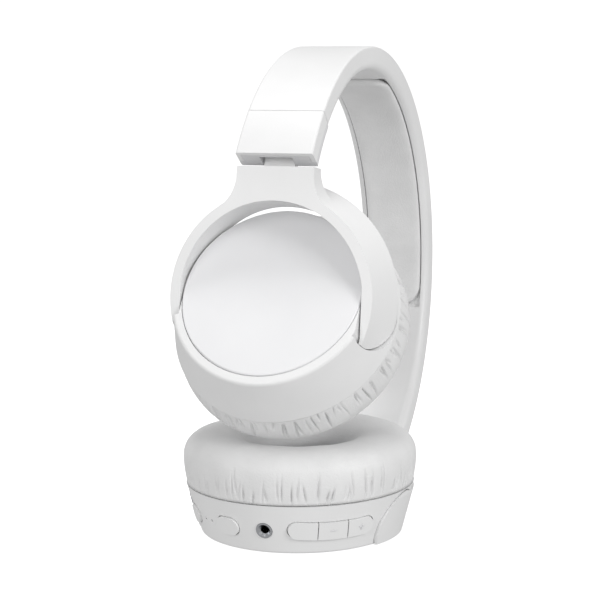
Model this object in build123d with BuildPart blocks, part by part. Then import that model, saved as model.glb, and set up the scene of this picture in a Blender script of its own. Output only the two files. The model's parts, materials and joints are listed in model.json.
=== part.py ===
from build123d import *
import os
from math import atan2, cos, radians, sin, sqrt

os.makedirs("parts", exist_ok=True)

# Folding on-ear headphones, lying on the outer face of the right cup and of the right end
# block.  The left arm is folded inwards at its hinge and the left cup is tilted in its yoke.
# Z is up, Y runs across the headband and X runs along the floor towards the left cup.
# "hand" is +1 for the left side and -1 for the right side.

SIDES = {"left": 1, "right": -1}

# ---- headband -------------------------------------------------------------------------
band_radius = 73.2          # outer face
band_width = 24.0
band_thickness = 7.4
band_half_angle = 103.9     # from the crown to each end, degrees
band_lean = 63.4            # the crown leans this far from vertical, towards -X
band_centre = Vector(-3.27, 0, 73.5)
band_edge_radius = 0.7
shell_wall = 1.4
shell_depth = 4.5
inner_corner = 2.4

cushion_half_angle = 43.6
cushion_width = 19.0
cushion_recess = 1.3
cushion_proud = 1.6

spring_half_angle = 78.0
spring_width = 15.0
spring_thickness = 0.7
spring_gap = 0.15
rail_width = 1.9            # rails of the inner frame that stand inside the shell
fit_gap = 0.1               # between fixed pieces of one body
cushion_margin = 0.25
cushion_edge_radius = 1.4

strip_start = 86.0          # slider strip, degrees from the crown
strip_end = 107.4
strip_width = 13.0
strip_thickness = 1.0
strip_depth = 3.3

# ---- end block and fold hinge ---------------------------------------------------------
seam_gap = 0.15             # degrees
block_end = 116.6
block_thickness = 8.2
block_chamfer = 1.3
hinge_inset = 5.98          # hinge axis before the end of the block
hinge_depth = 5.92          # hinge axis behind the outer face
tunnel_width = 10.2
tunnel_roof = 2.3
pin_radius = 1.0
pin_length = 16.0
knuckle_radius = 3.0
knuckle_width = 9.6
running_gap = 0.06
screw_inset = 11.6
screw_spacing = 7.6         # each screw from the middle of the block
screw_radius = 1.25
screw_sink = 0.55
screw_slot_length = 1.5
screw_slot_width = 0.35
end_gap = 0.3
tongue_thickness = 2.2

# ---- yoke -----------------------------------------------------------------------------
neck_length = 38.2          # neck top to the centre of the ring
neck_width = 24.0
neck_thickness = 6.4
neck_flare = 12.0
ring_front_radius = 31.3
ring_back_radius = 35.0
ring_depth = 13.4
cradle_radius = 28.5        # inner surface of the yoke, swept about the pivot axis
cradle_side_angle = 80.0    # where the cradle's round surface ends in a flat around the pivot
pivot_drop = 3.62           # pivot below the ring centre
pivot_depth = 4.48          # pivot behind the front of the yoke
long_arm = 10.2             # radius of the arm ends about the pivot
short_arm = 6.4
arm_gap = 0.4
arm_overhang = 3.0          # how far the long arm's round end may pass the back of the ring
plate_inset = 0.25
pivot_pin_radius = 1.5
pivot_pin_length = 61.2

# ---- ear cup --------------------------------------------------------------------------
rim_radius = 31.0
seam_radius = 35.0
housing_depth = 15.6
core_radius = 28.0
cover_radius = 27.65
cover_thickness = 1.9
cavity_radius = 24.6
cavity_front = 3.4
rim_step = 0.35
rim_round = 1.1
boss_radius = 12.0          # thicker middle behind the cover

baffle_radius = 33.6
baffle_thickness = 1.6
baffle_hole = 17.2
baffle_screw_circle = 26.0
baffle_screw_radius = 0.78
baffle_screw_length = 5.5
baffle_head_radius = 1.7
baffle_head_height = 0.9
vent_circle = 22.0
vent_radius = 1.2
cushion_ring_hole = 30.0
cushion_ring_thickness = 1.2
pad_radius = 36.0
pad_hole_radius = 15.5
pad_front = 31.3            # pad face behind the cover
pad_gap = 0.35

driver_radius = 16.6
driver_depth = 5.0
magnet_radius = 9.0
magnet_depth = 3.0
magnet_overlap = 1.6        # how far the magnet sits inside the basket
diaphragm_radius = driver_radius - 1.75
dome_radius = 7.0
grille_radius = 18.6

battery_length = 30.0
battery_width = 24.0
battery_thickness = 3.4
board_radius = 20.0
board_thickness = 1.0
chip_height = 1.1
chips = ((-6, 5, 7.0, 7.0), (6, -7, 5.0, 4.0), (-9, -7, 3.0, 6.0))      # x, y, length, width

# ---- pose -----------------------------------------------------------------------------
FOLD = {"left": 26.7, "right": 0.0}
TILT = {"left": 27.4, "right": 0.0}

# ---- controls on the right cup --------------------------------------------------------
control_depth = 7.6         # centre of the controls behind the cover
button_height = 5.5
button_proud = 0.45
button_body = 1.5
button_travel_room = 0.8
button_clearance = 0.22
bar_angle = 36.0            # middle of the three-button bar, from the bottom of the cup
bar_half_angle = 23.5
bar_split = 8.0
bar_gap = 0.3
jack_radius = 1.27
jack_collar_radius = 2.55
jack_length = 11.5
port_angle = -67.3
port_depth = 11.2
port_width = 9.0
port_height = 3.2
port_depth_inside = 6.6
port_body_length = 7.5
pinhole_angles = (-35.0, -41.0)
pinhole_radius = 0.45
pinhole_depth = 3.0
switch_angles = (bar_angle - 14.5, bar_angle, bar_angle + 14.5, -22.0, -53.5)
switch_radius = 1.3


def band_direction(angle):
    """Unit vector from the band centre, at an angle from the crown towards the left cup."""
    turn = radians(angle - band_lean)
    return Vector(sin(turn), 0, cos(turn))


def band_section(angle):
    """Plane across the band: local x is radial, local y is along the width."""
    outward = band_direction(angle)
    return Plane(origin=band_centre, x_dir=outward, z_dir=outward.cross(Vector(0, 1, 0)))


def moved(plane, x=0, y=0, z=0):
    """The same plane with its origin moved in its own directions."""
    return Plane(plane.from_local_coords((x, y, z)), x_dir=plane.x_dir, z_dir=plane.z_dir)


def swung(plane, angle):
    """The same plane turned about its own y axis, its x towards the back of z."""
    turn = radians(angle)
    return Plane(plane.origin, x_dir=plane.x_dir * cos(turn) - plane.z_dir * sin(turn),
                 z_dir=plane.z_dir * cos(turn) + plane.x_dir * sin(turn))


def spun(plane, angle):
    """The same plane turned about its own z axis."""
    turn = radians(angle)
    return Plane(plane.origin, x_dir=plane.x_dir * cos(turn) + plane.y_dir * sin(turn), z_dir=plane.z_dir)


def radial(plane):
    """Plane through the axis of a round part: local x is radial, local y is along its axis."""
    return Plane(plane.origin, x_dir=plane.x_dir, z_dir=-plane.y_dir)


def sideways(plane, hand):
    """Plane whose normal is the world +Y side of the part."""
    return Plane(plane.origin, x_dir=plane.x_dir, z_dir=plane.y_dir * hand)


def block_frame(side):
    """Outer face at the end of the end block: x towards the cup, z outwards."""
    hand = SIDES[side]
    outward = band_direction(hand * block_end)
    along = Vector(outward.Z, 0, -outward.X) * hand
    return Plane(band_centre + outward * band_radius, x_dir=along, z_dir=outward)


def hinge_frame(side):
    """Fold hinge, with its directions still those of the block."""
    return moved(block_frame(side), x=-hinge_inset, z=-hinge_depth)


def yoke_frame(side):
    """Centre of the yoke ring on its front face."""
    folded = swung(hinge_frame(side), FOLD[side])
    return moved(folded, x=hinge_inset + end_gap + neck_length, z=hinge_depth)


def pivot_frame(side):
    """Tilt pivot, with the directions of the yoke."""
    return moved(yoke_frame(side), x=pivot_drop, z=-pivot_depth)


def cup_frame(side):
    """Centre of the cup's outer face: x away from the headband, z outwards."""
    tilted = swung(pivot_frame(side), -TILT[side])
    return moved(tilted, x=-pivot_drop, z=pivot_depth + end_gap)


def save(name, builder):
    """Labels a finished piece and writes it."""
    builder.part.label = name
    export_step(builder.part, f"parts/{name}.step")


band_axis = Axis(band_centre, (0, 1, 0))


def arc_start(side, low, high):
    """Angle at which a sweep of the band from low to high starts on this side."""
    return low if SIDES[side] > 0 else -high


def housing_radius(depth):
    """Radius of the cup's conical side wall at a depth behind the cover."""
    return rim_radius + (seam_radius - rim_radius) * depth / housing_depth


def rim_plane(side, angle, depth, sink=0.0):
    """Plane on the cup's side wall, its z pointing out of the wall and its x around the rim."""
    frame = spun(cup_frame(side), angle)
    foot = moved(frame, x=housing_radius(depth) - sink, z=-depth)
    slope = atan2(seam_radius - rim_radius, housing_depth)
    return Plane(foot.origin, x_dir=frame.y_dir, z_dir=frame.x_dir * cos(slope) + frame.z_dir * sin(slope))


# ---- headband -------------------------------------------------------------------------
def make_headband():
    start = band_section(-band_half_angle)
    sweep_arc = 2 * band_half_angle
    shell_inner = band_radius - shell_depth
    frame_inner = band_radius - band_thickness

    with BuildPart() as headband_outer_shell:
        with BuildSketch(start):
            with Locations((band_radius - shell_depth / 2, 0)):
                Rectangle(shell_depth, band_width)
            fillet(vertices().group_by(Axis.X)[-1], radius=band_edge_radius)
            with Locations((shell_inner + (shell_depth - shell_wall) / 2, 0)):
                Rectangle(shell_depth - shell_wall, band_width - 2 * shell_wall, mode=Mode.SUBTRACT)
        revolve(axis=band_axis, revolution_arc=sweep_arc)
    save("headband_outer_shell", headband_outer_shell)

    flange = shell_inner - frame_inner
    rail_height = shell_depth - shell_wall - fit_gap
    with BuildPart() as headband_inner_frame:
        with BuildSketch(start):
            with Locations((frame_inner + flange / 2, 0)):
                Rectangle(flange, band_width)
            fillet(vertices().group_by(Axis.X)[0], radius=inner_corner)
            rail_y = band_width / 2 - shell_wall - fit_gap - rail_width / 2
            with Locations((shell_inner + rail_height / 2, rail_y), (shell_inner + rail_height / 2, -rail_y)):
                Rectangle(rail_height, rail_width)
        revolve(axis=band_axis, revolution_arc=sweep_arc)
        with BuildSketch(band_section(-cushion_half_angle - 0.3)):
            with Locations((frame_inner + cushion_recess / 2, 0)):
                Rectangle(cushion_recess, cushion_width + 2 * cushion_margin)
        revolve(axis=band_axis, revolution_arc=2 * cushion_half_angle + 0.6, mode=Mode.SUBTRACT)
    save("headband_inner_frame", headband_inner_frame)

    with BuildPart() as headband_cushion:
        depth = cushion_recess + cushion_proud
        with BuildSketch(band_section(-cushion_half_angle)):
            with Locations((frame_inner + cushion_recess - depth / 2, 0)):
                Rectangle(depth, cushion_width)
            fillet(vertices().group_by(Axis.X)[0], radius=cushion_edge_radius)
        revolve(axis=band_axis, revolution_arc=2 * cushion_half_angle)
    save("headband_cushion", headband_cushion)

    with BuildPart() as headband_spring:
        with BuildSketch(band_section(-spring_half_angle)):
            with Locations((band_radius - shell_wall - spring_gap - spring_thickness / 2, 0)):
                Rectangle(spring_thickness, spring_width)
        revolve(axis=band_axis, revolution_arc=2 * spring_half_angle)
    save("headband_spring", headband_spring)


# ---- slider and end block -------------------------------------------------------------
def make_slider(side):
    hand = SIDES[side]
    block = block_frame(side)
    hinge = hinge_frame(side)
    low = band_half_angle + seam_gap
    arc = block_end - low
    start = band_section(arc_start(side, low, block_end))
    cover_inner = band_radius - shell_depth
    block_inner = band_radius - block_thickness

    with BuildPart() as slider_strip:
        with BuildSketch(band_section(arc_start(side, strip_start, strip_end))):
            with Locations((band_radius - strip_depth - strip_thickness / 2, 0)):
                Rectangle(strip_thickness, strip_width)
        revolve(axis=band_axis, revolution_arc=strip_end - strip_start)
    save(f"slider_strip_{side}", slider_strip)

    with BuildPart() as end_block_cover:
        with BuildSketch(start):
            with Locations((band_radius - shell_depth / 2, 0)):
                Rectangle(shell_depth, band_width)
            fillet(vertices().group_by(Axis.X)[-1], radius=band_edge_radius)
            with Locations((cover_inner + (shell_depth - shell_wall) / 2, 0)):
                Rectangle(shell_depth - shell_wall, band_width - 2 * shell_wall, mode=Mode.SUBTRACT)
        revolve(axis=band_axis, revolution_arc=arc)
    save(f"end_block_cover_{side}", end_block_cover)

    flange = cover_inner - block_inner
    body_height = shell_depth - shell_wall - fit_gap
    tunnel_length = hinge_inset + knuckle_radius + 1.2
    with BuildPart() as end_block_base:
        with BuildSketch(start):
            with Locations((block_inner + flange / 2, 0)):
                Rectangle(flange, band_width)
            fillet(vertices().group_by(Axis.X)[0], radius=inner_corner)
            with Locations((cover_inner + body_height / 2, 0)):
                Rectangle(body_height, band_width - 2 * (shell_wall + fit_gap))
        revolve(axis=band_axis, revolution_arc=arc)
        with BuildSketch(moved(block, x=-tunnel_length / 2 + 1, z=-tunnel_roof)):
            Rectangle(tunnel_length + 2, tunnel_width)
        extrude(amount=-block_thickness, mode=Mode.SUBTRACT)
        with BuildSketch(swung(moved(block, x=-block_chamfer, z=-block_thickness), -45)):
            Rectangle(6.0, band_width + 2)
        extrude(amount=-4.0, mode=Mode.SUBTRACT)
        with BuildSketch(sideways(hinge, hand)):
            Circle(pin_radius + 0.02)
        extrude(amount=pin_length / 2 + 0.1, both=True, mode=Mode.SUBTRACT)
        with BuildSketch(band_section(arc_start(side, low - 1, strip_end + 0.1))):
            with Locations((band_radius - strip_depth - strip_thickness / 2, 0)):
                Rectangle(strip_thickness + fit_gap, strip_width + fit_gap)
        revolve(axis=band_axis, revolution_arc=strip_end + 1.1 - low, mode=Mode.SUBTRACT)
        with BuildSketch(moved(block, x=-screw_inset, z=-block_thickness - 1)):
            with Locations((0, screw_spacing), (0, -screw_spacing)):
                Circle(screw_radius + fit_gap)
        extrude(amount=2.6, mode=Mode.SUBTRACT)
    save(f"end_block_base_{side}", end_block_base)

    with BuildPart() as hinge_pin:
        with BuildSketch(sideways(hinge, hand)):
            Circle(pin_radius)
        extrude(amount=pin_length / 2, both=True)
        chamfer(edges().filter_by(GeomType.CIRCLE), length=0.2)
    save(f"hinge_pin_{side}", hinge_pin)

    with BuildPart() as end_block_screws:
        with BuildSketch(moved(block, x=-screw_inset, z=-block_thickness + screw_sink)):
            with Locations((0, screw_spacing), (0, -screw_spacing)):
                Circle(screw_radius)
        extrude(amount=1.0)
        with BuildSketch(moved(block, x=-screw_inset, z=-block_thickness + screw_sink)):
            with Locations((0, screw_spacing), (0, -screw_spacing)):
                Rectangle(screw_slot_length, screw_slot_width)
                Rectangle(screw_slot_width, screw_slot_length)
        extrude(amount=0.5, mode=Mode.SUBTRACT)
    save(f"end_block_screws_{side}", end_block_screws)


# ---- yoke -----------------------------------------------------------------------------
def ring_outline(plane, radius):
    """Face of the neck and ring seen from outside, blended by concave arcs."""
    turn = radius + neck_flare
    blend_y = neck_width / 2 + neck_flare
    blend_x = -sqrt(turn**2 - blend_y**2)
    touch = radius / turn
    with BuildSketch(plane) as outline:
        with BuildLine():
            top = Line((-neck_length, neck_width / 2), (-neck_length, -neck_width / 2))
            low_edge = Line(top @ 1, (blend_x, -neck_width / 2))
            low_flare = TangentArc(low_edge @ 1, (blend_x * touch, -blend_y * touch), tangent=(1, 0))
            ring = ThreePointArc(low_flare @ 1, (radius, 0), (blend_x * touch, blend_y * touch))
            high_flare = TangentArc((blend_x, neck_width / 2), ring @ 1, tangent=(1, 0))
            Line(high_flare @ 0, top @ 0)
        make_face()
    return outline.sketch


def make_yoke(side):
    hand = SIDES[side]
    frame = yoke_frame(side)
    pivot = pivot_frame(side)
    plate_radius = ring_front_radius + (ring_back_radius - ring_front_radius) * neck_thickness / ring_depth
    side_plane = sideways(pivot, hand)
    reach = ring_back_radius + 5

    with BuildPart() as yoke:
        # the neck's own disc stays just inside the ring, so that no two walls coincide
        loft([ring_outline(frame.offset(-neck_thickness), plate_radius - plate_inset),
              ring_outline(frame, ring_front_radius - plate_inset)], ruled=True)
        with BuildSketch(radial(frame)):
            with BuildLine():
                Polyline((0, 0), (ring_front_radius, 0), (ring_back_radius, -ring_depth),
                         (ring_back_radius, -ring_depth - arm_overhang),
                         (0, -ring_depth - arm_overhang), close=True)
            make_face()
        revolve(axis=Axis(frame.origin, frame.z_dir))
        # rounded ends of the two arms below the pivot, long on +Y and short on -Y
        for arm, way in ((long_arm, 1), (short_arm, -1)):
            with BuildSketch(side_plane):
                with Locations((reach / 2, 0)):
                    Rectangle(reach, 2 * reach)
                with Locations((-reach / 2, hand * (ring_depth - pivot_depth + reach / 2))):
                    Rectangle(reach, reach)
                Circle(arm, mode=Mode.SUBTRACT)
            extrude(amount=way * reach, mode=Mode.SUBTRACT)
        pivot_axis = Axis(pivot.origin, pivot.y_dir)
        revolve(cradle_profile(pivot, cradle_radius), axis=pivot_axis, mode=Mode.SUBTRACT)
        with BuildSketch(side_plane):
            Circle(pivot_pin_radius + running_gap)
        extrude(amount=pivot_pin_length / 2 + 0.4, both=True, mode=Mode.SUBTRACT)
        # tongue and knuckle of the fold hinge
        hinge_x = -(neck_length + end_gap + hinge_inset)
        knuckle_plane = sideways(moved(frame, x=hinge_x, z=-hinge_depth), hand)
        with BuildSketch(knuckle_plane):
            Circle(knuckle_radius)
        extrude(amount=knuckle_width / 2, both=True)
        with BuildSketch(moved(frame, x=(hinge_x - neck_length + 1) / 2, z=-neck_thickness)):
            Rectangle(-hinge_x - neck_length + 1, knuckle_width)
        extrude(amount=neck_thickness - hinge_depth + tongue_thickness)
        with BuildSketch(knuckle_plane):
            Circle(pin_radius + running_gap)
        extrude(amount=knuckle_width, both=True, mode=Mode.SUBTRACT)
    save(f"yoke_{side}", yoke)


def cradle_profile(pivot, radius):
    """Half profile of the round space about the pivot axis that the cup turns in."""
    with BuildSketch(Plane(pivot.origin, x_dir=pivot.x_dir, z_dir=pivot.z_dir)) as profile:
        with BuildLine():
            side_x = pivot_drop + radius * cos(radians(cradle_side_angle))
            side_y = radius * sin(radians(cradle_side_angle))
            arc = ThreePointArc((side_x, -side_y), (pivot_drop + radius, 0), (side_x, side_y))
            Polyline(arc @ 1, (0, side_y), (0, -side_y), arc @ 0)
        make_face()
    return profile.sketch


# ---- ear cup --------------------------------------------------------------------------
def ring_profile(plane, points, rounds=()):
    """Half profile of a turned piece: points are radius and height above the plane."""
    with BuildSketch(radial(plane)) as profile:
        with BuildLine():
            Polyline(*points, close=True)
        make_face()
        for corner, radius in rounds:
            fillet(vertices().sort_by_distance(Vector(*corner))[0], radius=radius)
    return profile.sketch


def wall_band(side, inside, outside):
    """Thin conical ring that follows the side wall, between two distances out of it."""
    cup = cup_frame(side)
    high = 1.5
    low = housing_depth - 0.5
    points = [(housing_radius(high) + inside, -high), (housing_radius(high) + outside, -high),
              (housing_radius(low) + outside, -low), (housing_radius(low) + inside, -low)]
    with BuildPart() as ring:
        revolve(ring_profile(cup, points), axis=Axis(cup.origin, cup.z_dir))
    return ring.part


def bar_outline(side, low, high, grow=0.0):
    """Part of the three-button bar between two places across it, rounded at the bar's ends."""
    hand = SIDES[side]
    plane = rim_plane(side, hand * bar_angle, control_depth)
    length = 2 * housing_radius(control_depth) * sin(radians(bar_half_angle))
    with BuildSketch(plane) as outline:
        SlotOverall(length + 2 * grow, button_height + 2 * grow)
        with Locations(((low + high) / 2, 0)):
            Rectangle(high - low, button_height + 2, mode=Mode.INTERSECT)
    return outline.sketch


def pill_outline(side, angle, length, grow=0.0):
    """Outline of a single oblong button on the side wall."""
    with BuildSketch(rim_plane(side, SIDES[side] * angle, control_depth)) as outline:
        SlotOverall(length + 2 * grow, button_height + 2 * grow)
    return outline.sketch


bar_reach = 20.0
split_place = housing_radius(control_depth) * sin(radians(bar_split))
BUTTONS = {
    "play_button": ("bar", split_place + bar_gap / 2, bar_reach),
    "volume_down_button": ("bar", -split_place + bar_gap / 2, split_place - bar_gap / 2),
    "volume_up_button": ("bar", -bar_reach, -split_place - bar_gap / 2),
    "power_button": ("pill", -22.0, 8.4),
    "noise_cancel_button": ("pill", -53.5, 6.6),
}


def button_outline(side, kind, first, second, grow=0.0):
    """Outline of one button, grown on every side by a clearance."""
    if kind == "bar":
        return bar_outline(side, first, second, grow)
    return pill_outline(side, first, second, grow)


def make_housing(side):
    hand = SIDES[side]
    cup = cup_frame(side)
    axis = Axis(cup.origin, cup.z_dir)
    pivot = moved(cup, x=pivot_drop, z=-pivot_depth - end_gap)
    side_plane = sideways(pivot, hand)
    reach = seam_radius + 4
    notch_depth = ring_depth + arm_gap
    seat = cover_radius + 0.15
    shoulder = rim_radius - 0.5
    wall = [(0, -rim_step), (shoulder, -rim_step), (seam_radius, -housing_depth), (0, -housing_depth)]
    core = [(0, -rim_step - 0.05), (core_radius + 2, -rim_step - 0.05),
            (core_radius + 2, -notch_depth - 0.6), (0, -notch_depth - 0.6)]
    inside = [(0, 1), (seat, 1), (seat, -cover_thickness - 0.05), (boss_radius, -cover_thickness - 0.05),
              (boss_radius, -cavity_front), (cavity_radius, -cavity_front),
              (cavity_radius, -housing_depth - 1), (0, -housing_depth - 1)]

    with BuildPart() as cup_core:
        revolve(cradle_profile(pivot, core_radius), axis=Axis(pivot.origin, pivot.y_dir))
        revolve(ring_profile(cup, core), axis=axis, mode=Mode.INTERSECT)

    with BuildPart() as cup_housing:
        revolve(ring_profile(cup, wall, [((shoulder, -rim_step), rim_round)]), axis=axis)
        with BuildSketch(moved(cup, x=(pivot_drop - reach) / 2, z=-notch_depth)):
            Rectangle(reach + pivot_drop, 2 * reach)
        extrude(amount=notch_depth + 5, mode=Mode.SUBTRACT)
        with BuildSketch(side_plane):
            Circle(long_arm + arm_gap)
        extrude(amount=reach, mode=Mode.SUBTRACT)
        with BuildSketch(side_plane):
            Circle(short_arm + arm_gap)
        extrude(amount=-reach, mode=Mode.SUBTRACT)
        add(cup_core.part)
        revolve(ring_profile(cup, inside), axis=axis, mode=Mode.SUBTRACT)
        with BuildSketch(side_plane):
            Circle(pivot_pin_radius)
        extrude(amount=pivot_pin_length / 2 + 0.4, both=True, mode=Mode.SUBTRACT)
        with BuildSketch(moved(cup, z=-housing_depth)):
            with PolarLocations(baffle_screw_circle, 4, start_angle=45):
                Circle(0.8)
        extrude(amount=5.0, mode=Mode.SUBTRACT)
        if side == "right":
            add(control_recesses(side), mode=Mode.SUBTRACT)
    save(f"cup_housing_{side}", cup_housing)


def control_recesses(side):
    """Pockets and holes for the buttons, sockets and microphones of the right cup."""
    hand = SIDES[side]
    jack = rim_plane(side, 0, control_depth)
    port = rim_plane(side, hand * port_angle, port_depth)
    with BuildPart() as pockets:
        extrude(bar_outline(side, -bar_reach, bar_reach, button_clearance), amount=12.0, both=True)
        for kind, first, second in BUTTONS.values():
            if kind == "pill":
                extrude(pill_outline(side, first, second, button_clearance), amount=5.0, both=True)
        add(wall_band(side, -button_body - button_travel_room, 3.0), mode=Mode.INTERSECT)
        with BuildSketch(jack.offset(-jack_length - 1)):
            Circle(jack_collar_radius)
        extrude(amount=jack_length + 4)
        with BuildSketch(port):
            SlotOverall(port_width + 0.7, port_height + 0.7)
        extrude(amount=8.0, both=True)
        for angle in pinhole_angles:
            with BuildSketch(rim_plane(side, hand * angle, control_depth)):
                Circle(pinhole_radius)
            extrude(amount=pinhole_depth, both=True)
    return pockets.part


def turned(name, plane, points, rounds=()):
    """A turned piece written under its name."""
    with BuildPart() as piece:
        revolve(ring_profile(plane, points, rounds), axis=Axis(plane.origin, plane.z_dir))
    save(name, piece)


def make_cup_pieces(side):
    hand = SIDES[side]
    cup = cup_frame(side)
    axis = Axis(cup.origin, cup.z_dir)
    pivot = moved(cup, x=pivot_drop, z=-pivot_depth - end_gap)

    cover = [(0, 0), (cover_radius, 0), (cover_radius, -cover_thickness), (0, -cover_thickness)]
    turned(f"cup_cover_{side}", cup, cover, [((cover_radius, 0), 0.5)])

    with BuildPart() as pivot_pins:
        with BuildSketch(sideways(pivot, hand)):
            Circle(pivot_pin_radius)
        extrude(amount=pivot_pin_length / 2, both=True)
        with BuildSketch(sideways(pivot, hand)):
            Circle(2.0)
        extrude(amount=25.4, both=True, mode=Mode.SUBTRACT)
    save(f"pivot_pins_{side}", pivot_pins)

    back = housing_depth + baffle_thickness
    with BuildPart() as baffle:
        with BuildSketch(moved(cup, z=-back)):
            Circle(baffle_radius)
            Circle(baffle_hole, mode=Mode.SUBTRACT)
            with PolarLocations(baffle_screw_circle, 4, start_angle=45):
                Circle(1.0, mode=Mode.SUBTRACT)
            with PolarLocations(vent_circle, 8, start_angle=22.5):
                Circle(vent_radius, mode=Mode.SUBTRACT)
        extrude(amount=baffle_thickness)
    save(f"baffle_{side}", baffle)

    with BuildPart() as baffle_screws:
        with BuildSketch(moved(cup, z=-back - baffle_head_height)):
            with PolarLocations(baffle_screw_circle, 4, start_angle=45):
                Circle(baffle_head_radius)
        extrude(amount=baffle_head_height)
        with BuildSketch(moved(cup, z=-back)):
            with PolarLocations(baffle_screw_circle, 4, start_angle=45):
                Circle(baffle_screw_radius)
        extrude(amount=baffle_screw_length)
        with BuildSketch(moved(cup, z=-back - baffle_head_height)):
            with PolarLocations(baffle_screw_circle, 4, start_angle=45):
                Rectangle(2.0, 0.45)
                Rectangle(0.45, 2.0)
        extrude(amount=0.5, mode=Mode.SUBTRACT)
    save(f"baffle_screws_{side}", baffle_screws)

    ring_back = back + cushion_ring_thickness
    ring = [(cushion_ring_hole, -back), (baffle_radius, -back),
            (baffle_radius, -ring_back), (cushion_ring_hole, -ring_back)]
    turned(f"cushion_ring_{side}", cup, ring)

    driver_front = back - 0.2
    basket = [(driver_radius, -driver_front), (driver_radius, -driver_front + 1.2),
              (driver_radius - 1.5, -driver_front + driver_depth),
              (magnet_radius, -driver_front + driver_depth),
              (magnet_radius, -driver_front + driver_depth - 0.8), (driver_radius - 2.4, -driver_front + 3.6),
              (driver_radius - 1.0, -driver_front)]
    turned(f"driver_basket_{side}", cup, basket)

    magnet_front = -driver_front + driver_depth - magnet_overlap
    magnet = [(0, magnet_front), (magnet_radius - 0.05, magnet_front),
              (magnet_radius - 0.05, magnet_front + magnet_depth), (0, magnet_front + magnet_depth)]
    turned(f"driver_magnet_{side}", cup, magnet)

    with BuildPart() as diaphragm:
        with BuildSketch(radial(cup)):
            with BuildLine():
                face = Line((0, -driver_front + 0.9), (dome_radius, -driver_front + 1.9))
                Polyline(face @ 1, (diaphragm_radius, -driver_front + 0.7),
                         (diaphragm_radius, -driver_front + 1.0), (dome_radius, -driver_front + 2.2),
                         (0, -driver_front + 1.2), face @ 0)
            make_face()
        revolve(axis=axis)
    save(f"driver_diaphragm_{side}", diaphragm)

    grille = [(0, -back - 0.3), (grille_radius, -back - 0.3), (grille_radius, -back - 0.9), (0, -back - 0.9)]
    turned(f"grille_cloth_{side}", cup, grille)

    pad_back = housing_depth + pad_gap
    pad = [(pad_hole_radius + 5.0, -ring_back - 0.1), (pad_hole_radius, -ring_back - 5.0),
           (pad_hole_radius, -pad_front), (pad_radius - 0.4, -pad_front),
           (pad_radius, -pad_front + 7.0), (seam_radius - 0.1, -pad_back),
           (baffle_radius + 0.1, -pad_back), (baffle_radius + 0.1, -ring_back - 0.1)]
    turned(f"ear_cushion_{side}", cup, pad,
           [((pad_hole_radius, -pad_front), 5.0), ((pad_radius - 0.4, -pad_front), 6.0)])


def make_left_electronics(side):
    cup = cup_frame(side)
    with BuildPart() as battery:
        with BuildSketch(moved(cup, z=-cavity_front - battery_thickness - 0.2)):
            RectangleRounded(battery_length, battery_width, 1.5)
        extrude(amount=battery_thickness)
    save("battery", battery)


def make_right_electronics(side):
    hand = SIDES[side]
    cup = cup_frame(side)
    board_depth = cavity_front + 1.4

    with BuildPart() as circuit_board:
        with BuildSketch(moved(cup, z=-board_depth)):
            Circle(board_radius)
        extrude(amount=board_thickness)
    save("circuit_board", circuit_board)

    with BuildPart() as circuit_chips:
        with BuildSketch(moved(cup, z=-board_depth)):
            for x, y, length, width in chips:
                with Locations((x, hand * y)):
                    Rectangle(length, width)
        extrude(amount=-chip_height)
    save("circuit_chips", circuit_chips)

    jack = rim_plane(side, 0, control_depth)
    with BuildPart() as audio_jack_socket:
        with BuildSketch(jack.offset(-jack_length)):
            Circle(jack_collar_radius - 0.05)
        extrude(amount=jack_length - 0.1)
        with BuildSketch(jack.offset(-jack_length)):
            Circle(jack_radius)
        extrude(amount=jack_length + 1, mode=Mode.SUBTRACT)
        outer_edges = edges().filter_by(GeomType.CIRCLE).group_by(Axis(jack.origin, jack.z_dir))[-1]
        chamfer(outer_edges.sort_by(SortBy.RADIUS)[0], length=0.7)
    save("audio_jack_socket", audio_jack_socket)

    port = rim_plane(side, hand * port_angle, port_depth)
    with BuildPart() as charging_port:
        with BuildSketch(port.offset(-port_body_length)):
            SlotOverall(port_width + 0.6, port_height + 0.6)
        extrude(amount=7.3)
        with BuildSketch(port.offset(-port_depth_inside)):
            SlotOverall(port_width, port_height)
        extrude(amount=7.5, mode=Mode.SUBTRACT)
        with BuildSketch(port.offset(-port_depth_inside)):
            Rectangle(6.7, 0.7)
        extrude(amount=5.2)
    save("charging_port", charging_port)

    shell = wall_band(side, -button_body, button_proud)
    for name, (kind, first, second) in BUTTONS.items():
        with BuildPart() as button:
            extrude(button_outline(side, kind, first, second), amount=10.0, both=True)
            add(shell, mode=Mode.INTERSECT)
        save(name, button)

    with BuildPart() as button_switches:
        for angle in switch_angles:
            base = rim_plane(side, hand * angle, control_depth, sink=button_body + button_travel_room)
            with BuildSketch(base.offset(0.06)):
                Circle(switch_radius)
            extrude(amount=0.2)
    save("button_switches", button_switches)

    with BuildPart() as microphones:
        for angle in pinhole_angles:
            with BuildSketch(rim_plane(side, hand * angle, control_depth).offset(fit_gap - pinhole_depth)):
                Circle(pinhole_radius - 0.01)
            extrude(amount=0.6)
    save("microphones", microphones)


make_headband()
for side in SIDES:
    make_slider(side)
    make_yoke(side)
    make_housing(side)
    make_cup_pieces(side)
make_left_electronics("left")
make_right_electronics("right")
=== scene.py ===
"""Folding on-ear headphones on a pale studio floor. Every length is in metres."""
import json
import math
import random

import bpy
from mathutils import Matrix, Vector


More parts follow.
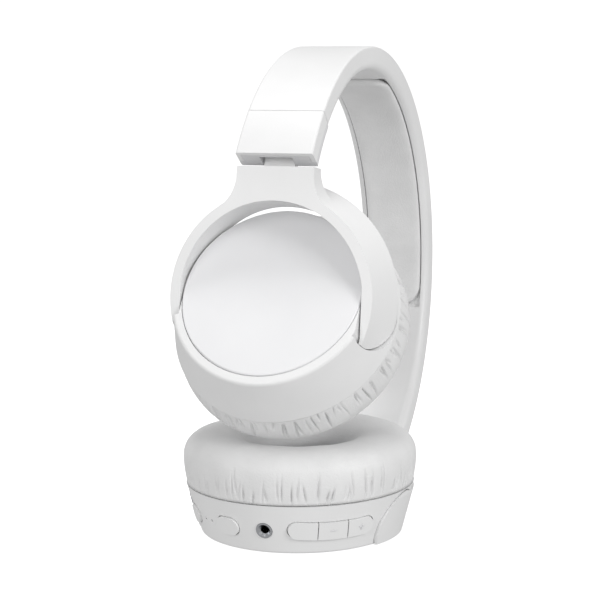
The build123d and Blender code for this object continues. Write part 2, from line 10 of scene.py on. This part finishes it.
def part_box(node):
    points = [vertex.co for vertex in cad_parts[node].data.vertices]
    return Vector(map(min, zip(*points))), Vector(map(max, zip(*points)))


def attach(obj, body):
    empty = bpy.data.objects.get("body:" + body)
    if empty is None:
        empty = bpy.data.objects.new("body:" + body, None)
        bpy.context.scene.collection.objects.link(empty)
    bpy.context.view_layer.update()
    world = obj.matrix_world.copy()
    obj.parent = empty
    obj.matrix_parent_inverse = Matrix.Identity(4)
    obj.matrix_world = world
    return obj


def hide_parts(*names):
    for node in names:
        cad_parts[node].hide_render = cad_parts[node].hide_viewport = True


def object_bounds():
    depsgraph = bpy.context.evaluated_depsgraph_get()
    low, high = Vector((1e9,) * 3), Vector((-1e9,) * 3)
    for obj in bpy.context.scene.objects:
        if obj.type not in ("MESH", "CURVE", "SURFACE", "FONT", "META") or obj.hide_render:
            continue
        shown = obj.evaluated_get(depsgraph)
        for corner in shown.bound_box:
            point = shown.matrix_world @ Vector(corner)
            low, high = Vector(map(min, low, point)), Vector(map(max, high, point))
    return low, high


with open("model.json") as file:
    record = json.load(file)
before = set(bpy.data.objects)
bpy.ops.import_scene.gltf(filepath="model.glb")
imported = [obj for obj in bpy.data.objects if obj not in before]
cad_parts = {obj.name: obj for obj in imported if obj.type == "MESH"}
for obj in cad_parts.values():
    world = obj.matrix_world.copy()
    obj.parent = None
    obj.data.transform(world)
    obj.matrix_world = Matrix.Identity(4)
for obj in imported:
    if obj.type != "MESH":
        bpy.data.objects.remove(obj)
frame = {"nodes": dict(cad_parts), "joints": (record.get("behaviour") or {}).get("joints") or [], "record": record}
cad_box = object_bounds()

MM = 0.001
JOINTS = {joint["name"]: joint for joint in frame["joints"]}

# ---- driving dimensions ----
PAD_RADIUS = 35.7 * MM
PAD_SEAM_RADIUS = 34.8 * MM
PAD_HOLE_RADIUS = 15.5 * MM
PAD_TOP_FROM_RING = 13.3 * MM       # pad face, beyond the middle of its mounting ring
PAD_SEAM_FROM_RING = -1.85 * MM
PAD_SHOULDER_DROP = 7.6 * MM        # the crown starts this far behind the pad's face
PAD_SKIRT_RADIUS = PAD_SEAM_RADIUS - 1.2 * MM
PAD_SKIRT_TOP = 0.75 * MM
PAD_HOLE_FLARE = ((0.8 * MM, 4.2 * MM), (3.2 * MM, 1.2 * MM))   # wider by, at this height
PAD_STEPS = 1200                    # sections round the pad
WALL_ROWS = 10
CROWN_ROWS = 18
CROWN_POWER = 0.78                  # below 1 is fuller than an ellipse
PAD_SEEDS = {"left": 11, "right": 29}

CREASE_COUNT = 104
CREASE_SCATTER = 0.9                # of the space between two gathers
CREASE_HALF_DEGREES = (0.32, 0.62)
CREASE_SLANT_DEGREES = (-2.2, 2.2)
CREASE_FOOT_MM = (0.2, 1.6)
CREASE_LENGTH_MM = (3.0, 10.0)
CREASE_DEPTH_MM = (0.45, 1.25)
CREASE_REACH = 3                    # half widths beyond which a gather is flat
CREASE_LEAN = 0.7                   # below 1 puts the deepest point nearer the seam
SWELL_WAVES = (2, 3, 5, 9, 14)      # waves round the pad's face
SWELL_SIZE_MM = (0.02, 0.06)

BAND_INNER_RADIUS = 65.8 * MM       # bare inner face of the headband
CUSHION_HALF_ANGLE = math.radians(43.4)
CUSHION_HALF_WIDTH = 9.4 * MM
CUSHION_PROUD = 1.6 * MM
CUSHION_SUNK = 1.2 * MM
CUSHION_CORNER = 7.0 * MM
CUSHION_END_FADE = 2.6 * MM         # length over which the ends come up from the band
CUSHION_SQUARENESS = 0.45           # of the cross-section, 1 being an ellipse
CUSHION_CROWN_POWER = 0.7
CUSHION_STEPS = 150
CUSHION_AROUND = 40

MARK_RISE = 0.06 * MM
MARK_SLICE = 1 * MM                 # half height of the part of the button that is measured
MARK_LENGTH = 1.7 * MM
MARK_WIDTH = 0.36 * MM

CAMERA_AZIMUTH = math.radians(19.21)
CAMERA_ELEVATION = math.radians(8.72)
CAMERA_ROLL = math.radians(0.69)
CAMERA_DISTANCE = 602.63 * MM
CAMERA_LENS = 116.94                # millimetres
CAMERA_SENSOR = 36.0                # millimetres
CAMERA_TARGET = Vector((24.29, 0.0, 69.58)) * MM
CAMERA_SIDE_STEP = -3.01 * MM

PATCH_EDGES = (0.3, 0.7)            # noise levels where the dark and light colours are full
ROUGHNESS_SPREAD = 0.06
GRAIN_HEIGHT = 0.2 * MM

FLOOR_RINGS = ((0.02, 0.0), (4.0, 0.0), (25.0, 0.0), (29.0, 1.0), (30.0, 5.0))   # radius, rise
FLOOR_SIDES = 64
FLOOR_GLOW = 0.6
SKY_STRENGTH = 0.56
LIGHTS = (                          # name, place, size, watts
    ("key_light", (0.45, 0.85, 0.45), 0.35, 3.6),
    ("top_light", (-0.02, -0.1, 1.1), 0.35, 3.4),
    ("front_light", (1.1, -0.25, 0.45), 0.6, 3.0),
)


# ---- materials ----
def node(tree, kind, **inputs):
    """A shader node with some of its inputs set."""
    made = tree.nodes.new(kind)
    for name, value in inputs.items():
        made.inputs[name.replace("_", " ")].default_value = value
    return made


def surface(name, dark, light, rough, grain, bump,
            patch=40.0, metallic=0.0, stretch=(1, 1, 1), weave=0.0):
    """Procedural finish: slow colour variation, uneven roughness and a fine grain in the normal."""
    material = bpy.data.materials.new(name)
    material.use_nodes = True
    tree = material.node_tree
    shader = tree.nodes["Principled BSDF"]
    shader.inputs["Metallic"].default_value = metallic
    place = node(tree, "ShaderNodeTexCoord")
    mapping = node(tree, "ShaderNodeMapping")
    mapping.inputs["Scale"].default_value = stretch
    tree.links.new(place.outputs["Object"], mapping.inputs["Vector"])

    patches = node(tree, "ShaderNodeTexNoise", Scale=patch, Detail=3.0)
    ramp = tree.nodes.new("ShaderNodeValToRGB")
    for stop, edge, colour in zip(ramp.color_ramp.elements, PATCH_EDGES, (dark, light)):
        stop.position = edge
        stop.color = (*colour, 1)
    spread = node(tree, "ShaderNodeMapRange")
    spread.inputs["To Min"].default_value = rough - ROUGHNESS_SPREAD
    spread.inputs["To Max"].default_value = rough + ROUGHNESS_SPREAD
    fine = node(tree, "ShaderNodeTexNoise", Scale=grain, Detail=2.0)
    relief = node(tree, "ShaderNodeBump", Strength=bump, Distance=GRAIN_HEIGHT)
    for texture in (patches, fine):
        tree.links.new(mapping.outputs["Vector"], texture.inputs["Vector"])
    tree.links.new(patches.outputs["Fac"], ramp.inputs["Fac"])
    tree.links.new(ramp.outputs["Color"], shader.inputs["Base Color"])
    tree.links.new(patches.outputs["Fac"], spread.inputs["Value"])
    tree.links.new(spread.outputs["Result"], shader.inputs["Roughness"])
    height = fine.outputs["Fac"]
    if weave:
        threads = node(tree, "ShaderNodeTexVoronoi", Scale=weave)
        tree.links.new(mapping.outputs["Vector"], threads.inputs["Vector"])
        height = threads.outputs["Distance"]
    tree.links.new(height, relief.inputs["Height"])
    tree.links.new(relief.outputs["Normal"], shader.inputs["Normal"])
    return material


FINISHES = {    # name, dark colour, light colour, roughness, grain scale, grain strength
    "shell_plastic": surface(
        "satin_white_plastic", (0.80, 0.80, 0.80), (0.84, 0.84, 0.84), 0.38, 2500, 0.10),
    "cover_plastic": surface(
        "smooth_white_plastic", (0.80, 0.80, 0.81), (0.83, 0.83, 0.84), 0.33, 2500, 0.06),
    "inner_plastic": surface(
        "matt_white_plastic", (0.70, 0.70, 0.71), (0.75, 0.75, 0.76), 0.55, 1800, 0.18),
    "pad_leather": surface(
        "white_leatherette", (0.76, 0.76, 0.76), (0.82, 0.82, 0.82), 0.50, 900, 0.35,
        patch=90.0, weave=1700.0),
    "grille_fabric": surface(
        "grey_knit", (0.42, 0.42, 0.43), (0.52, 0.52, 0.53), 0.85, 900, 0.8, weave=2200.0),
    "spring_steel": surface(
        "brushed_steel", (0.45, 0.46, 0.48), (0.60, 0.61, 0.63), 0.34, 600, 0.25,
        metallic=1.0, stretch=(1, 12, 1)),
    "jack_metal": surface(
        "plated_metal", (0.40, 0.41, 0.43), (0.55, 0.56, 0.58), 0.22, 1500, 0.05, metallic=1.0),
    "dark_plastic": surface(
        "dark_plastic", (0.018, 0.018, 0.02), (0.035, 0.035, 0.04), 0.55, 1500, 0.2),
    "board_resin": surface(
        "board_resin", (0.01, 0.10, 0.04), (0.02, 0.16, 0.07), 0.35, 800, 0.1, patch=200.0),
    "membrane": surface(
        "driver_film", (0.05, 0.05, 0.06), (0.09, 0.09, 0.10), 0.42, 700, 0.2, patch=120.0),
}
SLOTS = {part["node"]: part["material_slot"] for part in frame["record"]["subparts"]}


def dress_nodes():
    """Gives every CAD node the finish of its record slot."""
    for name, part in frame["nodes"].items():
        part.data.materials.clear()
        part.data.materials.append(FINISHES[SLOTS[name]])


# ---- soft pieces ----
def box_centre(name):
    """Middle of a CAD node's box."""
    low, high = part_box(name)
    return (Vector(low) + Vector(high)) / 2


def grid_object(name, rows, finish, closed_rows=True):
    """Mesh through rings of points; every ring is closed, and the rings too if asked."""
    count = len(rows[0])
    points = [point for row in rows for point in row]
    last = len(rows) if closed_rows else len(rows) - 1
    faces = []
    for i in range(last):
        for j in range(count):
            nxt = (i + 1) % len(rows)
            faces.append((i * count + j, i * count + (j + 1) % count,
                          nxt * count + (j + 1) % count, nxt * count + j))
    if not closed_rows:
        faces.append(tuple(reversed(range(count))))
        faces.append(tuple(range((len(rows) - 1) * count, len(rows) * count)))
    mesh = bpy.data.meshes.new(name)
    mesh.from_pydata(points, [], faces)
    mesh.validate()
    mesh.update()
    for face in mesh.polygons:
        face.use_smooth = True
    mesh.materials.append(finish)
    made = bpy.data.objects.new(name, mesh)
    bpy.context.scene.collection.objects.link(made)
    return made


def creases(seed):
    """Gathers above the seam: place, half width, slant, foot, length and depth of each."""
    chance = random.Random(seed)
    made = []
    for k in range(CREASE_COUNT):
        made.append((
            math.tau * (k + chance.uniform(-CREASE_SCATTER, CREASE_SCATTER)) / CREASE_COUNT,
            math.radians(chance.uniform(*CREASE_HALF_DEGREES)),
            math.radians(chance.uniform(*CREASE_SLANT_DEGREES)),
            chance.uniform(*CREASE_FOOT_MM) * MM,
            chance.uniform(*CREASE_LENGTH_MM) * MM,
            chance.uniform(*CREASE_DEPTH_MM) * MM,
        ))
    return made


def crease_depth(folds, angle, height):
    """How far the side wall is drawn in at an angle, at a height above the seam."""
    drawn = 0.0
    for place, half_width, slant, foot, length, depth in folds:
        up = (height - foot) / length
        if 0 < up < 1:
            away = abs((angle - place - slant * up + math.pi) % math.tau - math.pi) / half_width
            if away < CREASE_REACH:
                sink = depth * math.exp(-away * away) * math.sin(math.pi * up**CREASE_LEAN)
                drawn = max(drawn, sink)
    return drawn


def pad_profile():
    """Half section of an ear pad, from the seam round, as radius and height beyond the ring."""
    seam, top = PAD_SEAM_FROM_RING, PAD_TOP_FROM_RING
    middle = (PAD_RADIUS + PAD_HOLE_RADIUS) / 2
    half = (PAD_RADIUS - PAD_HOLE_RADIUS) / 2
    shoulder = top - PAD_SHOULDER_DROP
    section = []
    for k in range(WALL_ROWS):
        rise = k / (WALL_ROWS - 1)
        bulge = (PAD_RADIUS - PAD_SEAM_RADIUS) * math.sin(rise * math.pi / 2)
        section.append((PAD_SEAM_RADIUS + bulge, seam + rise * (shoulder - seam)))
    for k in range(1, CROWN_ROWS):
        turn = math.pi * k / CROWN_ROWS
        across = math.copysign(abs(math.cos(turn)) ** CROWN_POWER, math.cos(turn))
        height = shoulder + (top - shoulder) * math.sin(turn) ** CROWN_POWER
        section.append((middle + half * across, height))
    section.append((PAD_HOLE_RADIUS, shoulder))
    section += [(PAD_HOLE_RADIUS + wider, height) for wider, height in PAD_HOLE_FLARE]
    section.append((PAD_SKIRT_RADIUS, PAD_SKIRT_TOP))
    section.append((PAD_SKIRT_RADIUS, seam))
    return section


def make_ear_pad(side):
    """Foam ring under leatherette, gathered along its outer seam."""
    ring = box_centre(f"cushion_ring_{side}")
    outward = (ring - box_centre(f"driver_magnet_{side}")).normalized()
    across = Vector((0, 1, 0))
    along = across.cross(outward)
    folds = creases(PAD_SEEDS[side])
    chance = random.Random(PAD_SEEDS[side] + 1)
    swells = [(k, chance.uniform(0, math.tau), chance.uniform(*SWELL_SIZE_MM) * MM)
              for k in SWELL_WAVES]
    most = sum(size for _, _, size in swells)
    section = pad_profile()
    last_gathered = WALL_ROWS + CROWN_ROWS // 4
    rows = []
    for step in range(PAD_STEPS):
        angle = math.tau * step / PAD_STEPS
        radial = along * math.cos(angle) + across * math.sin(angle)
        swell = sum(size * math.sin(k * angle + phase) for k, phase, size in swells)
        row = []
        for index, (radius, height) in enumerate(section):
            rise = height - PAD_SEAM_FROM_RING
            sink = crease_depth(folds, angle, rise) if index < last_gathered else 0.0
            lift = swell - most if WALL_ROWS < index < WALL_ROWS + CROWN_ROWS else 0.0
            row.append(ring + radial * (radius - sink) + outward * (height + lift))
        rows.append(row)
    pad = grid_object(f"ear_pad_{side}", rows, FINISHES["pad_leather"])
    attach(pad, f"cup_{side}")
    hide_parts(f"ear_cushion_{side}")


def make_band_pad():
    """Crowned cushion under the crown, with rounded ends and a drawn-in edge."""
    centre = Vector(JOINTS["slider_left"]["pos_m"])
    mesh = frame["nodes"]["headband_cushion"].data
    mean = sum((Vector(v.co) for v in mesh.vertices), Vector()) / len(mesh.vertices)
    crown = Vector((mean.x - centre.x, 0, mean.z - centre.z)).normalized()
    forward = Vector((crown.z, 0, -crown.x))
    half_length = CUSHION_HALF_ANGLE * BAND_INNER_RADIUS
    rows = []
    for step in range(CUSHION_STEPS + 1):
        place = math.cos(math.pi * step / CUSHION_STEPS)
        turn = -CUSHION_HALF_ANGLE * place
        from_end = half_length - abs(turn) * BAND_INNER_RADIUS
        short = max(0.0, CUSHION_CORNER - from_end)
        round_off = math.sqrt(max(0.0, CUSHION_CORNER**2 - short**2))
        half_width = CUSHION_HALF_WIDTH - CUSHION_CORNER + round_off
        fade = math.sqrt(max(0.0, 1 - (1 - min(1.0, from_end / CUSHION_END_FADE)) ** 2))
        outward = crown * math.cos(turn) + forward * math.sin(turn)
        row = []
        for k in range(CUSHION_AROUND):
            spin = math.tau * k / CUSHION_AROUND
            squared = abs(math.cos(spin)) ** CUSHION_SQUARENESS
            side = math.copysign(squared, math.cos(spin)) * half_width
            rise = math.sin(spin)
            if rise > 0:
                height = CUSHION_PROUD * fade * rise**CUSHION_CROWN_POWER
            else:
                height = CUSHION_SUNK * rise
            row.append(centre + outward * (BAND_INNER_RADIUS - height) + Vector((0, side, 0)))
        rows.append(row)
    pad = grid_object("headband_pad", rows, FINISHES["pad_leather"], closed_rows=False)
    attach(pad, "headband")
    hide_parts("headband_cushion")


def make_mark(name, button, arms):
    """Small raised bars, such as a plus, in the middle of a button's outer face."""
    low, high = (Vector(corner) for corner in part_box(button))
    cup = box_centre("cup_cover_right")
    middle = (low + high) / 2
    outward = Vector((middle.x - cup.x, middle.y - cup.y, 0)).normalized()
    mesh = frame["nodes"][button].data
    reach = max((Vector(v.co) - cup).dot(outward) for v in mesh.vertices
                if abs(v.co.z - middle.z) < MARK_SLICE)
    across = Vector((0, 0, 1)).cross(outward)
    face = cup + outward * (reach + MARK_RISE) + across * (middle - cup).dot(across)
    face.z = middle.z
    rings = []
    for length, width in arms:
        for back in (0.0, -2 * MARK_RISE):
            rings.append([
                face + across * x * length / 2 + Vector((0, 0, z * width / 2)) + outward * back
                for x, z in ((-1, -1), (1, -1), (1, 1), (-1, 1))
            ])
    points = [point for ring in rings for point in ring]
    faces = []
    for first in range(0, len(points), 8):
        faces.append(tuple(first + k for k in (0, 1, 2, 3)))
        faces.append(tuple(first + k for k in (7, 6, 5, 4)))
        for j in range(4):
            nxt = (j + 1) % 4
            faces.append(tuple(first + k for k in (j, j + 4, nxt + 4, nxt)))
    shape = bpy.data.meshes.new(name)
    shape.from_pydata(points, [], faces)
    shape.materials.append(FINISHES["inner_plastic"])
    mark = bpy.data.objects.new(name, shape)
    bpy.context.scene.collection.objects.link(mark)
    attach(mark, button)


# ---- studio ----
def make_floor():
    """Wide disc of pale paper whose far edge turns up, so that no horizon shows."""
    ground = cad_box[0][2]
    angles = [math.tau * k / FLOOR_SIDES for k in range(FLOOR_SIDES)]
    points = [(radius * math.cos(angle), radius * math.sin(angle), ground + rise)
              for radius, rise in FLOOR_RINGS for angle in angles]
    faces = []
    for i in range(len(FLOOR_RINGS) - 1):
        inner, outer = i * FLOOR_SIDES, (i + 1) * FLOOR_SIDES
        for k in range(FLOOR_SIDES):
            nxt = (k + 1) % FLOOR_SIDES
            faces.append((inner + k, inner + nxt, outer + nxt, outer + k))
    faces.append(tuple(range(FLOOR_SIDES)))
    mesh = bpy.data.meshes.new("floor")
    mesh.from_pydata(points, [], faces)
    floor = bpy.data.objects.new("floor", mesh)
    bpy.context.scene.collection.objects.link(floor)
    paper = surface(
        "paper_floor", (0.90, 0.90, 0.90), (0.92, 0.92, 0.92), 0.8, 200, 0.02, patch=3.0)
    shader = paper.node_tree.nodes["Principled BSDF"]
    shader.inputs["Emission Color"].default_value = (1, 1, 1, 1)
    shader.inputs["Emission Strength"].default_value = FLOOR_GLOW
    floor.data.materials.append(paper)
    floor.visible_diffuse = False
    floor.visible_glossy = False


def make_light(name, place, size, power):
    """Soft square lamp aimed at the middle of the object."""
    lamp = bpy.data.lights.new(name, "AREA")
    lamp.size = size
    lamp.energy = power
    holder = bpy.data.objects.new(name, lamp)
    holder.location = place
    holder.rotation_euler = (CAMERA_TARGET - Vector(place)).to_track_quat("-Z", "Y").to_euler()
    bpy.context.scene.collection.objects.link(holder)


def make_camera():
    """Camera aimed at the target from its azimuth and elevation, rolled and stepped sideways."""
    d, e = CAMERA_AZIMUTH, CAMERA_ELEVATION
    back = Vector((math.cos(e) * math.cos(d), math.cos(e) * math.sin(d), math.sin(e)))
    right = Vector((-math.sin(d), math.cos(d), 0))
    up = Vector((-math.sin(e) * math.cos(d), -math.sin(e) * math.sin(d), math.cos(e)))
    top = up * math.cos(CAMERA_ROLL) + right * math.sin(CAMERA_ROLL)
    camera = bpy.data.cameras.new("camera")
    camera.lens = CAMERA_LENS
    camera.sensor_width = CAMERA_SENSOR
    holder = bpy.data.objects.new("camera", camera)
    turn = Matrix((top.cross(back), top, back)).transposed().to_4x4()
    spot = CAMERA_TARGET + right * CAMERA_SIDE_STEP + back * CAMERA_DISTANCE
    holder.matrix_world = Matrix.Translation(spot) @ turn
    bpy.context.scene.collection.objects.link(holder)
    bpy.context.scene.camera = holder


def make_world():
    """Even white sky, and colours shown as they are."""
    bpy.context.scene.view_settings.view_transform = "Standard"
    world = bpy.data.worlds.new("studio")
    world.use_nodes = True
    sky = world.node_tree.nodes["Background"]
    sky.inputs["Color"].default_value = (1, 1, 1, 1)
    sky.inputs["Strength"].default_value = SKY_STRENGTH
    bpy.context.scene.world = world


dress_nodes()
make_ear_pad("left")
make_ear_pad("right")
make_band_pad()
make_mark("minus_mark", "volume_down_button", [(MARK_LENGTH, MARK_WIDTH)])
make_mark("plus_mark", "volume_up_button",
          [(MARK_LENGTH, MARK_WIDTH), (MARK_WIDTH, MARK_LENGTH)])
make_floor()
for light in LIGHTS:
    make_light(*light)
make_camera()
make_world()

bpy.context.view_layer.update()
